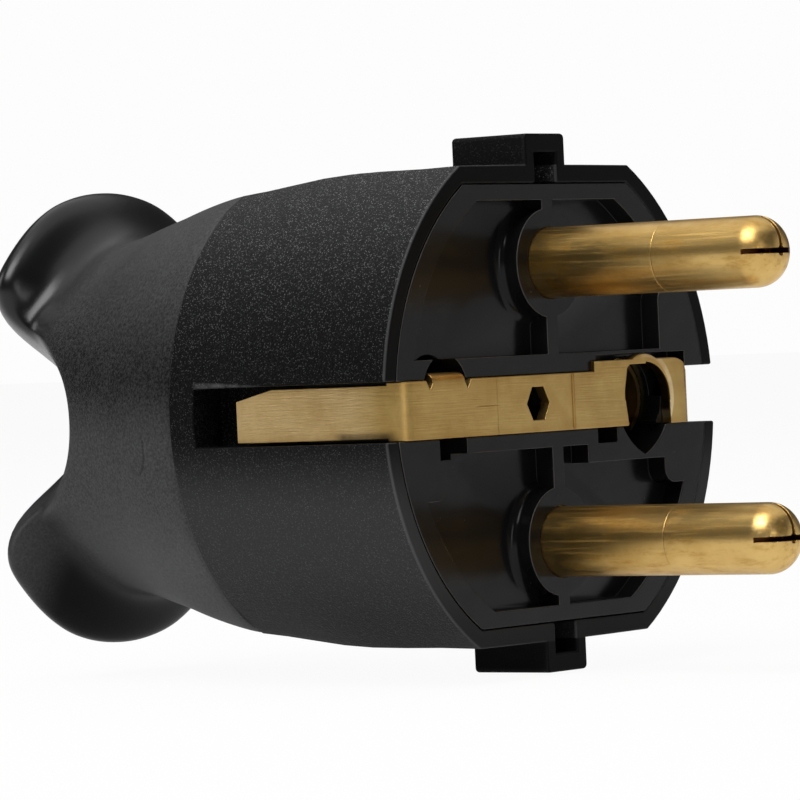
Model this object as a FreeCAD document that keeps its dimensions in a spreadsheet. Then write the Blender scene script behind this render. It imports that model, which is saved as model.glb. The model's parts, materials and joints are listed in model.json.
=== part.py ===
import FreeCAD, Part
import os
import re

import Sketcher

# Two-pin earthed plug with a side-contact strip and a hole for a socket's earth pin.
# X runs along the pins and points out of the engagement face, which lies at X = 0.
# Z runs through both pins, Y across them. All sizes are in millimetres.

SIZES = {
    # general clearances and overlaps
    "fit_gap": 0.05,
    "carrier_gap": 0.1,
    "bite": 0.3,
    "past": 1.0,
    # pins
    "pin_radius": 2.4,
    "pin_length": 19.0,
    "pin_offset": 9.5,
    "tip_round": 1.75,
    "tip_hole": 0.35,
    "tip_hole_depth": 1.2,
    "slit_width": 0.3,
    "slit_length": 4.4,
    "pin_root": 2.9,
    "pin_sink": 0.3,
    "pin_neck": 2.1,
    "neck_stand": 0.15,
    "pin_tail": 2.0,
    "pin_collar": 3.4,
    "pin_seat": 4.0,
    "tail_grip": 2.8,
    # face: everything across it follows from the pins
    "boss_radius": 3.72,
    "face_margin": 2.64,
    "recess_radius": "pin_offset + boss_radius + face_margin",
    "flat_inset": 2.06,
    "recess_flat": "recess_radius - flat_inset",
    "recess_depth": 1.5,
    "carrier_rim": 1.69,
    "carrier_radius": "recess_radius + carrier_rim",
    "flat_rim": 1.07,
    "carrier_flat": "recess_flat + flat_rim",
    "carrier_depth": 9.5,
    # housing sleeve: sections named by how far back they lie
    "rim_wall": 1.13,
    "flat_wall": 1.23,
    "rim_back": 0.0,
    "rim_radius": "carrier_radius + carrier_gap + rim_wall",
    "rim_height": "carrier_flat + carrier_gap + flat_wall",
    "rim_crown": 0.05,
    "barrel_taper": 0.81,
    "barrel_drop": 0.18,
    "barrel_back": 17.2,
    "barrel_radius": "rim_radius - barrel_taper",
    "barrel_height": "rim_height - barrel_drop",
    "barrel_crown": 0.5,
    "crease_taper": 0.12,
    "crease_drop": 0.04,
    "crease_back": 19.5,
    "crease_radius": "barrel_radius - crease_taper",
    "crease_height": "barrel_height - crease_drop",
    "crease_crown": 0.6,
    "handle_taper": 1.55,
    "handle_drop": 0.78,
    "handle_back": 25.5,
    "handle_radius": "crease_radius - handle_taper",
    "handle_height": "crease_height - handle_drop",
    "handle_crown": 1.5,
    "waist_taper": 1.1,
    "waist_drop": 0.7,
    "waist_back": 29.0,
    "waist_radius": "handle_radius - waist_taper",
    "waist_height": "handle_height - waist_drop",
    "waist_crown": 2.2,
    "neck_taper": 1.35,
    "neck_flat": 0.1,
    "neck_back": 32.5,
    "neck_radius": "waist_radius - neck_taper",
    "neck_height": "neck_radius - neck_flat",
    "neck_crown": 3.0,
    "groove_drop": 1.5,
    "groove_back": 37.4,
    "groove_radius": "neck_radius - groove_drop",
    "groove_rise": 0.95,
    "lobe_rise": 2.35,
    "lobe_back": 39.9,
    "lobe_radius": "neck_radius + lobe_rise",
    "lobe_round": 1.5,
    "lobe_corner": 3.6,
    "tail_back": 38.4,
    "tail_radius": 6.2,
    "scoop_back": 41.0,
    "scoop_collar": 6.2,
    "scoop_nose": 4.0,
    "scoop_reach": 24.0,
    "scoop_radius": 15.2,
    "cable_radius": 4.6,
    "seat_ledge": 3.15,
    "cavity_radius": "carrier_radius - seat_ledge",
    "cavity_back": 31.0,
    "cavity_taper": 3.0,
    "cavity_end_radius": "cavity_radius - cavity_taper",
    # guide noses and their latch slots
    "nose_width": 4.5,
    "nose_rise": 2.13,
    "nose_height": "rim_height + nose_rise",
    "nose_length": 6.3,
    "nose_round": 0.35,
    "slot_width": 2.5,
    "nose_wall": 1.28,
    "slot_height": "nose_height - nose_wall",
    "slot_depth": 4.8,
    # contact carrier
    "web_width": 1.2,
    "rail_top": 3.3,
    "rail_bottom": 3.05,
    "step_start": 3.5,
    "step_drop": 4.3,
    "corner_width": 3.36,
    "corner_start": "recess_radius - corner_width",
    "corner_low": 6.1,
    "corner_high": 7.7,
    "corner_round": 1.1,
    "low_pocket_left": 13.1,
    "low_pocket_right": 10.1,
    "low_pocket_drop": 3.4,
    "mid_pocket_left": 4.7,
    "mid_pocket_right": 7.0,
    "mid_pocket_drop": 3.0,
    "latch_width": 2.2,
    "latch_rise": 0.6,
    "latch_back": 5.6,
    "latch_length": 2.6,
    # earth strip
    "strip_half": 1.95,
    "strip_thick": 0.8,
    "strip_proud": 0.3,
    "strip_inset": 0.2,
    "strip_reach": "carrier_radius - strip_inset",
    "earth_pin_y": 10.1,
    "earth_hole_radius": 2.45,
    "far_land": 3.35,
    "far_reach": "earth_pin_y + earth_hole_radius + far_land",
    "bend_radius": 1.3,
    "leg_half": 1.78,
    "leg_back": 13.9,
    "leg_bow": 0.3,
    "leg_taper": 3.3,
    "leg_drop": 0.75,
    "leg_slot_half": 2.0,
    "leg_slot_back": "barrel_back",
    "leg_slot_gap": 0.2,
    "leg_slot_floor": "far_reach - strip_thick - leg_slot_gap",
    "wide_top": 2.65,
    "wide_start": 4.2,
    "wide_end": "far_reach - strip_thick",
    "arch_wall": 0.55,
    "arch_way_side": 5.3,
    "socket_wall": 0.35,
    "socket_gap": 0.2,
    "socket_sink": 2.2,
    "socket_depth": "carrier_depth - socket_sink - socket_gap",
    "socket_slit": 3.0,
    "point_half": 2.55,
    "point_drop": 4.0,
    "hex_y": 2.4,
    "hex_half": 1.12,
    "hex_depth": 4.7,
    "tab_y": 12.2,
    "tab_half": 1.75,
    "tab_level": 2.42,
    "tab_notch": 0.6,
    "tab_notch_level": 1.3,
    "tab_hole": 2.4,
    "tab_shoulder": 2.0,
    "tab_tail_half": 0.9,
    # carrier back, terminals and cord clamp
    "back_plate": 2.0,
    "back_gap": 0.2,
    "back_radius": "cavity_radius - back_gap",
    "screw_radius": 1.45,
    "screw_head_radius": 2.2,
    "screw_head_height": 1.4,
    "screw_slot": 0.6,
    "screw_slot_depth": 0.7,
    "head_room": 0.5,
    "block_side": "2 * (cavity_radius - pin_offset - screw_head_height - head_room)",
    "block_length": 7.0,
    "wire_radius": 1.9,
    "plate_length": 3.0,
    "plate_width": 2.2,
    "plate_level": 1.25,
    "plate_thick": 0.6,
    "earth_block_inset": 2.85,
    "earth_block_y": "cavity_radius - earth_block_inset",
    "earth_block_z": 1.0,
    "earth_block_width": 4.4,
    "earth_block_height": 4.8,
    "earth_block_length": 6.0,
    "earth_wire_radius": 1.75,
    "carrier_screw_y": 3.0,
    "carrier_screw_grip": 4.7,
    "shelf_half": 6.6,
    "shelf_gap": 0.7,
    "shelf_bottom": "pin_offset - block_side / 2 - shelf_gap",
    "shelf_top": 2.6,
    "shelf_back": 29.5,
    "saddle_radius": 4.2,
    "clamp_back": 26.0,
    "clamp_length": 6.0,
    "clamp_half": 9.2,
    "clamp_bottom": 2.5,
    "clamp_thick": 3.0,
    "clamp_screw_y": 6.8,
    "clamp_screw_grip": 3.6,
    "post_radius": 2.3,
    "post_gap": 0.1,
}

doc = FreeCAD.newDocument("earthed_plug")
sheet = doc.addObject("Spreadsheet::Sheet", "Sizes")
for row, (alias, number) in enumerate(SIZES.items(), 1):
    sheet.set(f"A{row}", alias)
    sheet.set(f"B{row}", f"={number}")
    sheet.setAlias(f"B{row}", alias)
doc.recompute()

NODES = []


def tied(text):
    """The same formula with every size name read from the sheet."""
    def from_sheet(match):
        word = match.group()
        return "Sizes." + word if word in SIZES else word
    return re.sub(r"[a-z]\w*", from_sheet, text)


def now(text):
    """What a formula on the sheet gives at the present sizes."""
    return float(sheet.evalExpression(tied(text).replace("Sizes.", "")))


def new_body(label):
    """An empty body whose label is its node's name."""
    body = doc.addObject("PartDesign::Body", label)
    body.Label = label
    NODES.append(body)
    return body


def place(body, **where):
    """Tie a body's position (x, y, z) to the sheet."""
    for axis, text in where.items():
        body.setExpression(f"Placement.Base.{axis}", tied(text))


def sketch_on(body, role, name, offset=None):
    """A sketch on one of the body's own origin planes, moved along its normal."""
    sketch = body.newObject("Sketcher::SketchObject", f"{body.Label}_{name}")
    support = next(f for f in body.Origin.OriginFeatures if f.Role == role)
    sketch.AttachmentSupport = [(support, "")]
    sketch.MapMode = "FlatFace"
    if offset is not None:
        sketch.setExpression("AttachmentOffset.Base.z", tied(offset))
    return sketch


def tie(sketch, kind, *where, text):
    """A constraint whose value follows a formula on the sheet."""
    index = sketch.addConstraint(Sketcher.Constraint(kind, *where, now(text)))
    sketch.setExpression(f"Constraints[{index}]", tied(text))


def pin_point(sketch, geometry, end, across, up):
    """Hold one point of a sketch at (across, up) from its origin."""
    tie(sketch, "DistanceX", -1, 1, geometry, end, text=across)
    tie(sketch, "DistanceY", -1, 1, geometry, end, text=up)


def arc_between(start, finish, radius, side):
    """The short arc between two points; its centre is left (1) or right (-1) of the run."""
    run = finish - start
    middle = (start + finish) * 0.5
    left = FreeCAD.Vector(-run.y, run.x, 0).normalize()
    rise = max(radius ** 2 - (run.Length / 2) ** 2, 0) ** 0.5
    centre = middle + left * rise * side
    first, second = (start, finish) if side > 0 else (finish, start)
    towards = FreeCAD.Vector(1, 0, 0)

    def angle(point):
        turn = (point - centre).getAngle(towards)
        return turn if point.y >= centre.y else -turn
    circle = Part.Circle(centre, FreeCAD.Vector(0, 0, 1), radius)
    return Part.ArcOfCircle(circle, angle(first), angle(second))


def outline(sketch, corners):
    """A closed outline through corners (across, up) or (across, up, radius, side).

    A corner with a radius starts an arc to the next corner.
    """
    base = sketch.GeometryCount
    points = [FreeCAD.Vector(now(c[0]), now(c[1]), 0) for c in corners]
    ends = []
    for index, corner in enumerate(corners):
        start, finish = points[index], points[(index + 1) % len(points)]
        if len(corner) == 4:
            sketch.addGeometry(arc_between(start, finish, now(corner[2]), corner[3]))
            ends.append((1, 2) if corner[3] > 0 else (2, 1))
        else:
            sketch.addGeometry(Part.LineSegment(start, finish))
            ends.append((1, 2))
    for index, corner in enumerate(corners):
        following = (index + 1) % len(corners)
        sketch.addConstraint(Sketcher.Constraint(
            "Coincident", base + index, ends[index][1], base + following, ends[following][0]))
        pin_point(sketch, base + index, ends[index][0], corner[0], corner[1])
        if len(corner) == 4:
            tie(sketch, "Radius", base + index, text=corner[2])


def round_end(across, up, radius, last, step):
    """Corners on a circle about (across, up), from its right side round to the angle last."""
    return [(f"{across} + {radius} * cos({angle})", f"{up} + {radius} * sin({angle})")
            for angle in range(0, last + 1, step)]


def rectangle(sketch, left, right, bottom, top):
    """A closed rectangle between four formulas."""
    outline(sketch, [(left, bottom), (right, bottom), (right, top), (left, top)])


def circle(sketch, across, up, radius):
    """A full circle."""
    centre = FreeCAD.Vector(now(across), now(up), 0)
    index = sketch.addGeometry(Part.Circle(centre, FreeCAD.Vector(0, 0, 1), now(radius)))
    pin_point(sketch, index, 3, across, up)
    tie(sketch, "Radius", index, text=radius)


def flatted_disc(sketch, radius, flat):
    """A disc cut by an upper and a lower flat."""
    half = f"sqrt(({radius})^2 - ({flat})^2)"
    outline(sketch, [(half, f"-({flat})", radius, 1), (half, flat),
                     (f"-{half}", flat, radius, 1), (f"-{half}", f"-({flat})")])


def feature(body, kind, name, sketch, **settings):
    """A feature made from a sketch; text settings are formulas, others plain values."""
    made = body.newObject(f"PartDesign::{kind}", f"{body.Label}_{name}")
    made.Profile = sketch
    for key, setting in settings.items():
        if isinstance(setting, str):
            made.setExpression(key, tied(setting))
        else:
            setattr(made, key, setting)
    sketch.Visibility = False
    return made


def pad(body, name, sketch, length, **settings):
    return feature(body, "Pad", name, sketch, Length=length, **settings)


def pocket(body, name, sketch, length, **settings):
    """A pocket that must take something away."""
    doc.recompute()
    before = body.Shape.Volume
    made = feature(body, "Pocket", name, sketch, Length=length, **settings)
    doc.recompute()
    if body.Shape.Volume > before - 1e-6:
        raise ValueError(f"{made.Name} cuts nothing")
    return made


def block(body, name, span, across, up, role="YZ_Plane"):
    """A box: span = (from, to) along the plane's normal, across and up on the plane."""
    sketch = sketch_on(body, role, name + "_face", span[0])
    rectangle(sketch, *across, *up)
    return pad(body, name, sketch, f"({span[1]}) - ({span[0]})")


def turned(body, kind, name, sketch, axis="H_Axis"):
    """A full turn of a sketch about one of its axes."""
    made = feature(body, kind, name, sketch, Angle=360.0)
    made.ReferenceAxis = (sketch, [axis])
    return made


def both_ways(low, high):
    """The same span on both sides of the axis."""
    return (low, high), (f"-({high})", f"-({low})")


def rounded(body, name, wanted, radius, kind="Fillet"):
    """A fillet or chamfer on the edges that wanted(edge) picks."""
    doc.recompute()
    base = body.Tip
    names = [f"Edge{i}" for i, edge in enumerate(base.Shape.Edges, 1) if wanted(edge)]
    if not names:
        raise ValueError(f"{body.Label} {name} finds no edge")
    made = body.newObject(f"PartDesign::{kind}", f"{body.Label}_{name}")
    made.Base = (base, names)
    made.setExpression("Radius" if kind == "Fillet" else "Size", tied(radius))
    return made


def middle_of(edge):
    return edge.valueAt((edge.FirstParameter + edge.LastParameter) / 2)


def is_along(edge, axis):
    """True for a straight edge along X (0), Y (1) or Z (2)."""
    if edge.Curve.TypeId != "Part::GeomLine":
        return False
    return abs(abs(edge.Curve.Direction[axis]) - 1) < 1e-6


def mirrored(body, name, original, role="XZ_Plane"):
    """The same feature again on the other side of an origin plane."""
    made = body.newObject("PartDesign::Mirrored", f"{body.Label}_{name}")
    made.Originals = [original]
    support = next(f for f in body.Origin.OriginFeatures if f.Role == role)
    made.MirrorPlane = (support, [""])
    body.Tip = made
    return made


# Housing: one moulded sleeve with a finger lobe above and below the cord

def sleeve_section(body, name):
    """One closed section of the sleeve: two round sides, two slightly crowned flats."""
    sketch = sketch_on(body, "YZ_Plane", name, f"-{name}_back")
    radius, crown = f"{name}_radius", f"{name}_crown"
    rise = f"({name}_height - {crown})"
    corner = f"sqrt({radius}^2 - {rise}^2)"
    crown_radius = f"(({radius}^2 - {rise}^2 + {crown}^2) / (2 * {crown}))"
    outline(sketch, [
        (corner, f"-{rise}", radius, 1),
        (corner, rise, crown_radius, 1),
        (f"-{corner}", rise, radius, 1),
        (f"-{corner}", f"-{rise}", crown_radius, 1)])
    return sketch


def loft(body, name, section_names):
    """A sleeve through named sections, straight between each two."""
    sections = [sleeve_section(body, section) for section in section_names]
    made = body.newObject("PartDesign::AdditiveLoft", f"{body.Label}_{name}")
    made.Profile = sections[0]
    made.Sections = sections[1:]
    made.Ruled = True


def make_housing():
    body = new_body("housing")
    loft(body, "barrel", ["rim", "barrel", "crease"])
    loft(body, "handle", ["crease", "handle", "waist", "neck"])
    rear = sketch_on(body, "XZ_Plane", "rear")
    outline(rear, [
        ("-neck_back", "0"),
        ("-neck_back", "neck_radius"),
        ("-groove_back", "groove_radius"),
        ("-lobe_back + lobe_round", "groove_radius + groove_rise"),
        *round_end("-lobe_back", "lobe_radius - lobe_round", "lobe_round", 180, 45),
        ("-tail_back", "tail_radius"),
        ("-tail_back", "0")])
    turned(body, "Revolution", "lobe_ring", rear)
    noses = sketch_on(body, "YZ_Plane", "noses")
    for low, high in both_ways("carrier_flat", "nose_height"):
        rectangle(noses, "-nose_width / 2", "nose_width / 2", low, high)
    pad(body, "guide_noses", noses, "nose_length", Reversed=True)
    top = now("nose_height")
    rounded(body, "nose_edges",
            lambda edge: is_along(edge, 0) and abs(abs(middle_of(edge).z) - top) < 1e-6,
            "nose_round")

    scoop = sketch_on(body, "XY_Plane", "scoop")
    outline(scoop, [
        ("-scoop_back", "-scoop_collar"),
        ("-scoop_back", "-scoop_reach"),
        ("-scoop_back + scoop_radius", "-scoop_reach"),
        ("-scoop_back + scoop_nose", "-scoop_collar")])
    axis = scoop.addGeometry(Part.LineSegment(
        FreeCAD.Vector(now("-scoop_back"), 0, 0), FreeCAD.Vector(now("-scoop_back"), 5, 0)), True)
    pin_point(scoop, axis, 1, "-scoop_back", "0")
    pin_point(scoop, axis, 2, "-scoop_back", "scoop_collar")
    doc.recompute()
    groove = turned(body, "Groove", "scoop_cut", scoop, "Axis0")
    doc.recompute()
    mirrored(body, "scoop_cuts", groove)
    lobe_corners(body)

    seat = sketch_on(body, "YZ_Plane", "seat")
    flatted_disc(seat, "carrier_radius + carrier_gap", "carrier_flat + carrier_gap")
    pocket(body, "carrier_seat", seat, "carrier_depth")
    cavity = sketch_on(body, "XZ_Plane", "cavity")
    outline(cavity, [
        ("-carrier_depth + past", "0"),
        ("-carrier_depth + past", "cavity_radius"),
        ("-crease_back", "cavity_radius"),
        ("-cavity_back", "cavity_end_radius"),
        ("-cavity_back", "cable_radius"),
        ("-tail_back - past", "cable_radius"),
        ("-tail_back - past", "0")])
    doc.recompute()
    turned(body, "Groove", "wiring_space", cavity)

    legs = sketch_on(body, "YZ_Plane", "leg_slots")
    for left, right in both_ways("leg_slot_floor", "rim_radius + past"):
        rectangle(legs, left, right, "-leg_slot_half", "leg_slot_half")
    pocket(body, "leg_slot_cut", legs, "leg_slot_back")
    slots = sketch_on(body, "YZ_Plane", "nose_slots")
    for low, high in both_ways("carrier_flat - past", "slot_height"):
        rectangle(slots, "-slot_width / 2", "slot_width / 2", low, high)
    pocket(body, "nose_slot_cut", slots, "slot_depth")
    hooks = sketch_on(body, "YZ_Plane", "latch_ways", "-latch_back + carrier_gap")
    for low, high in both_ways("carrier_flat - past", "carrier_flat + latch_rise + carrier_gap"):
        rectangle(hooks, "-slot_width / 2", "slot_width / 2", low, high)
    pocket(body, "latch_way_cut", hooks, "latch_length + carrier_gap * 2")


def lobe_corners(body):
    """Rounds the two ends of each finger lobe, seen from behind."""
    slope = "atan((scoop_radius - scoop_nose) / (scoop_reach - scoop_collar))"
    turn = f"({slope} + asin(lobe_corner / (lobe_radius - lobe_corner)))"
    inner = f"((lobe_radius - lobe_corner) * cos({turn} - {slope}))"
    cut = sketch_on(body, "YZ_Plane", "lobe_corner_cut", "-groove_back")
    for side in ("", "-"):
        for level in ("", "-"):
            def at(radius, angle):
                return f"{side}({radius}) * cos({angle})", f"{level}({radius}) * sin({angle})"
            outline(cut, [
                (*at("lobe_radius", turn), "lobe_corner", -1 if side == level else 1),
                at(inner, slope),
                at("lobe_radius + past", slope),
                at("lobe_radius + past", turn)])
    pocket(body, "lobe_corner_pocket", cut, "lobe_back + lobe_round - groove_back + past")


# Contact carrier: the moulded face that holds the pins and the earth strip

def make_carrier():
    body = new_body("contact_carrier")
    disc = sketch_on(body, "YZ_Plane", "disc")
    flatted_disc(disc, "carrier_radius", "carrier_flat")
    pad(body, "slab", disc, "carrier_depth", Reversed=True)
    recess = sketch_on(body, "YZ_Plane", "recess")
    flatted_disc(recess, "recess_radius", "recess_flat")
    pocket(body, "face_recess", recess, "recess_depth")

    bosses = sketch_on(body, "YZ_Plane", "bosses", "-recess_depth")
    for side in ("", "-"):
        circle(bosses, "0", f"{side}pin_offset", "boss_radius")
    pad(body, "pin_bosses", bosses, "recess_depth")
    face = ("-recess_depth", "0")
    block(body, "long_web", face, ("-web_width / 2", "web_width / 2"),
          ("-recess_flat - bite", "recess_flat + bite"))
    block(body, "strip_bed", face, ("-recess_radius", "recess_radius"),
          ("-rail_bottom", "rail_top"))
    face_blocks(body)
    strip_ways(body)
    pin_ways(body)

    hooks = sketch_on(body, "YZ_Plane", "hooks", "-latch_back")
    for low, high in both_ways("carrier_flat - bite", "carrier_flat + latch_rise"):
        rectangle(hooks, "-latch_width / 2", "latch_width / 2", low, high)
    pad(body, "latch_hooks", hooks, "latch_length", Reversed=True)
    screw = sketch_on(body, "YZ_Plane", "screw_hole", "-carrier_depth")
    circle(screw, "carrier_screw_y", "0", "screw_radius + fit_gap")
    pocket(body, "screw_hole_cut", screw, "carrier_screw_grip + fit_gap", Reversed=True)


def face_blocks(body):
    """Flush areas between the recess and the rim, beside the strip."""
    blocks = sketch_on(body, "YZ_Plane", "blocks", "-recess_depth")
    outline(blocks, [
        ("step_start", "-step_drop"),
        ("corner_start", "-step_drop"),
        ("corner_start", "-corner_low + corner_round", "corner_round", 1),
        ("corner_start + corner_round", "-corner_low"),
        ("recess_radius", "-corner_low"),
        ("recess_radius", "-rail_bottom"),
        ("step_start", "-rail_bottom")])
    outline(blocks, [
        ("-corner_start", "-rail_bottom"),
        ("-recess_radius", "-rail_bottom"),
        ("-recess_radius", "-corner_low"),
        ("-corner_start - corner_round", "-corner_low", "corner_round", 1),
        ("-corner_start", "-corner_low + corner_round")])
    outline(blocks, [
        ("corner_start", "rail_top"),
        ("recess_radius", "rail_top"),
        ("recess_radius", "corner_high"),
        ("corner_start + corner_round", "corner_high", "corner_round", 1),
        ("corner_start", "corner_high - corner_round")])
    pad(body, "flush_blocks", blocks, "recess_depth")


def strip_ways(body):
    """All that is cut for the earth strip, its legs, its tab and the earth pin."""
    way = sketch_on(body, "YZ_Plane", "strip_way")
    rectangle(way, "-carrier_radius - past", "carrier_radius + past",
              "-strip_half - fit_gap", "strip_half + fit_gap")
    pocket(body, "strip_way_cut", way, "strip_thick - strip_proud")
    wide = sketch_on(body, "YZ_Plane", "wide_way")
    rectangle(wide, "wide_start - fit_gap", "wide_end + fit_gap", "0", "wide_top + fit_gap")
    pocket(body, "wide_way_cut", wide, "strip_thick - strip_proud")
    arch = sketch_on(body, "YZ_Plane", "arch_way")
    rectangle(arch, "earth_pin_y - arch_way_side", "earth_pin_y + arch_way_side",
              "0", "earth_hole_radius + arch_wall + fit_gap")
    pocket(body, "arch_way_cut", arch, "recess_depth")
    legs = sketch_on(body, "YZ_Plane", "leg_ways")
    rectangle(legs, "-carrier_radius - past", "-strip_reach + bend_radius + strip_thick",
              "-leg_slot_half", "leg_slot_half")
    rectangle(legs, "far_reach - bend_radius - strip_thick", "carrier_radius + past",
              "-leg_slot_half", "leg_slot_half")
    pocket(body, "leg_way_cut", legs, "carrier_depth")

    earth = sketch_on(body, "YZ_Plane", "earth_way")
    circle(earth, "earth_pin_y", "0", "earth_hole_radius + socket_wall + fit_gap")
    pocket(body, "earth_way_cut", earth, "carrier_depth")
    point = sketch_on(body, "YZ_Plane", "earth_way_point")
    bow = "((point_half^2 + point_drop^2) / (2 * point_half))"
    outline(point, [
        ("earth_pin_y - point_half", "0", bow, 1),
        ("earth_pin_y", "-point_drop", bow, 1),
        ("earth_pin_y + point_half", "0")])
    pocket(body, "earth_way_point_cut", point, "carrier_depth")
    tab = sketch_on(body, "YZ_Plane", "tab_way")
    circle(tab, "-tab_y", "tab_level - tab_hole / 2", "tab_hole")
    pocket(body, "tab_way_cut", tab, "carrier_depth")
    small = sketch_on(body, "YZ_Plane", "small_pockets")
    rectangle(small, "-low_pocket_left", "-low_pocket_right", "-low_pocket_drop", "-strip_half")
    rectangle(small, "mid_pocket_left", "mid_pocket_right", "-mid_pocket_drop", "-strip_half")
    pocket(body, "small_pocket_cut", small, "carrier_depth / 2")
    bore = sketch_on(body, "YZ_Plane", "hex_bore")
    circle(bore, "-hex_y", "0", "hex_half / cos(30) + fit_gap")
    pocket(body, "hex_bore_cut", bore, "hex_depth")


def pin_ways(body):
    for name, start, radius, depth in (
            ("pin_way", "0", "pin_radius + fit_gap", "pin_sink"),
            ("root_way", "-pin_sink", "pin_root + fit_gap", "carrier_depth - pin_sink"),
            ("collar_seat", "-pin_seat", "pin_collar + fit_gap", "carrier_depth - pin_seat")):
        holes = sketch_on(body, "YZ_Plane", name, start)
        for side in ("", "-"):
            circle(holes, "0", f"{side}pin_offset", radius)
        pocket(body, name + "_cut", holes, depth)


# Live pins: turned brass with a collar, a gripped tail and a crossed slit in the tip

def make_pin(label, side):
    body = new_body(label)
    place(body, z=f"{side}pin_offset")
    tail = "carrier_depth + back_plate + tail_grip"
    half = sketch_on(body, "XZ_Plane", "half")
    outline(half, [
        ("pin_length - tip_hole_depth", "0"),
        ("pin_length - tip_hole_depth", "tip_hole"),
        ("pin_length", "tip_hole"),
        *round_end("pin_length - tip_round", "pin_radius - tip_round", "tip_round", 90, 30),
        ("neck_stand", "pin_radius"),
        ("neck_stand", "pin_neck"),
        ("-pin_sink", "pin_neck"),
        ("-pin_sink", "pin_root"),
        ("-pin_seat", "pin_root"),
        ("-pin_seat", "pin_collar"),
        ("-carrier_depth", "pin_collar"),
        ("-carrier_depth", "pin_tail"),
        (f"-({tail})", "pin_tail"),
        (f"-({tail})", "0")])
    turned(body, "Revolution", "stem", half)
    doc.recompute()
    wide, thin = ("-pin_radius - past", "pin_radius + past"), ("-slit_width / 2", "slit_width / 2")
    for name, across, up in (("slit_across", wide, thin), ("slit_up", thin, wide)):
        slit = sketch_on(body, "YZ_Plane", name, "pin_length")
        rectangle(slit, *across, *up)
        pocket(body, name + "_cut", slit, "slit_length")


# Earth strip: one pressed brass piece with two side legs, a tab and an arch round its hole

def make_strip():
    body = new_body("earth_strip")
    leg_run = "(leg_back + strip_proud - bend_radius)"
    bow = f"(({leg_run}^2 / 4 + leg_bow^2) / (2 * leg_bow))"
    front, back, turn = "strip_proud", "strip_proud - strip_thick", "strip_proud - bend_radius"
    inner_bend = "bend_radius - strip_thick"
    near, near_end = "-strip_reach", "-strip_reach + bend_radius"
    near_inner, far_inner = "-strip_reach + strip_thick", "far_reach - strip_thick"
    far, far_end = "far_reach", "far_reach - bend_radius"
    path = sketch_on(body, "XY_Plane", "path", "-strip_half")
    outline(path, [
        (front, near_end),
        (front, far_end, "bend_radius", 1),
        (turn, far, bow, 1),
        ("-leg_back", far),
        ("-leg_back", far_inner, bow, -1),
        (turn, far_inner, inner_bend, -1),
        (back, far_end),
        (back, near_end, inner_bend, -1),
        (turn, near_inner, bow, -1),
        ("-leg_back", near_inner),
        ("-leg_back", near, bow, 1),
        (turn, near, "bend_radius", 1)])
    pad(body, "band", path, "strip_half + wide_top")
    trim = sketch_on(body, "YZ_Plane", "trim", "strip_proud")
    above = "wide_top + past"
    rectangle(trim, "-strip_reach - past", "wide_start", "strip_half", above)
    rectangle(trim, "wide_end", "strip_reach + past", "strip_half", above)
    pocket(body, "trim_cut", trim, "leg_back + strip_proud")
    notches = sketch_on(body, "YZ_Plane", "notches", "strip_proud")
    for centre in ("-tab_y - tab_half - tab_notch / 2", "-tab_y + tab_half + tab_notch / 2"):
        outline(notches, [
            (centre, "tab_notch_level"),
            (f"{centre} + tab_notch", "strip_half + bite"),
            (f"{centre} - tab_notch", "strip_half + bite")])
    pocket(body, "notch_cut", notches, "strip_thick")
    sides = sketch_on(body, "XZ_Plane", "leg_trim")
    outline(sides, [
        (turn, "leg_half"),
        (turn, above),
        ("-leg_back - past", above),
        ("-leg_back - past", "leg_half - leg_drop"),
        ("-leg_back", "leg_half - leg_drop"),
        ("-leg_back + leg_taper", "leg_half")])
    rectangle(sides, "-leg_back - past", turn, "-strip_half - past", "-leg_half")
    pocket(body, "leg_trim_cut", sides, "(strip_reach + past) * 2", Midplane=True)
    block(body, "tab", ("-tab_shoulder", "strip_proud"), ("-tab_y - tab_half", "-tab_y + tab_half"),
          ("tab_level - strip_thick", "tab_level"))
    block(body, "tab_tail", ("-carrier_depth - back_plate - earth_block_length", "strip_proud - strip_thick"),
          ("-earth_block_y - tab_tail_half", "-earth_block_y + tab_tail_half"),
          ("tab_level - strip_thick", "tab_level"))
    arch = sketch_on(body, "YZ_Plane", "arch", "strip_proud")
    circle(arch, "earth_pin_y", "0", "earth_hole_radius + arch_wall")
    pad(body, "arch_pad", arch, "strip_thick", Reversed=True)
    below = sketch_on(body, "YZ_Plane", "arch_foot", "strip_proud")
    rectangle(below, "earth_pin_y - earth_hole_radius - past", "earth_pin_y + earth_hole_radius + past",
              "-earth_hole_radius - past", "-strip_half")
    pocket(body, "arch_foot_cut", below, "strip_thick")
    hole = sketch_on(body, "YZ_Plane", "earth_hole", "strip_proud")
    circle(hole, "earth_pin_y", "0", "earth_hole_radius")
    pocket(body, "earth_hole_cut", hole, "strip_thick")
    key = sketch_on(body, "YZ_Plane", "hex_hole", "strip_proud")
    point, slope = "hex_half / cos(30)", "hex_half * tan(30)"
    outline(key, [
        (f"-hex_y + {point}", "0"),
        (f"-hex_y + {slope}", "hex_half"),
        (f"-hex_y - {slope}", "hex_half"),
        (f"-hex_y - {point}", "0"),
        (f"-hex_y - {slope}", "-hex_half"),
        (f"-hex_y + {slope}", "-hex_half")])
    pocket(body, "hex_hole_cut", key, "strip_thick")


def make_socket():
    """Rolled sleeve behind the strip that takes the earth pin of a socket."""
    body = new_body("earth_socket")
    place(body, x="-socket_sink", y="earth_pin_y")
    ring = sketch_on(body, "YZ_Plane", "ring")
    circle(ring, "0", "0", "earth_hole_radius + socket_wall")
    circle(ring, "0", "0", "earth_hole_radius")
    pad(body, "sleeve", ring, "socket_depth", Reversed=True)
    slit = sketch_on(body, "YZ_Plane", "slit")
    rectangle(slit, "-socket_slit / 2", "socket_slit / 2",
              "-earth_hole_radius - socket_wall - past", "-earth_hole_radius / 2")
    pocket(body, "slit_cut", slit, "socket_depth")


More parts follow.
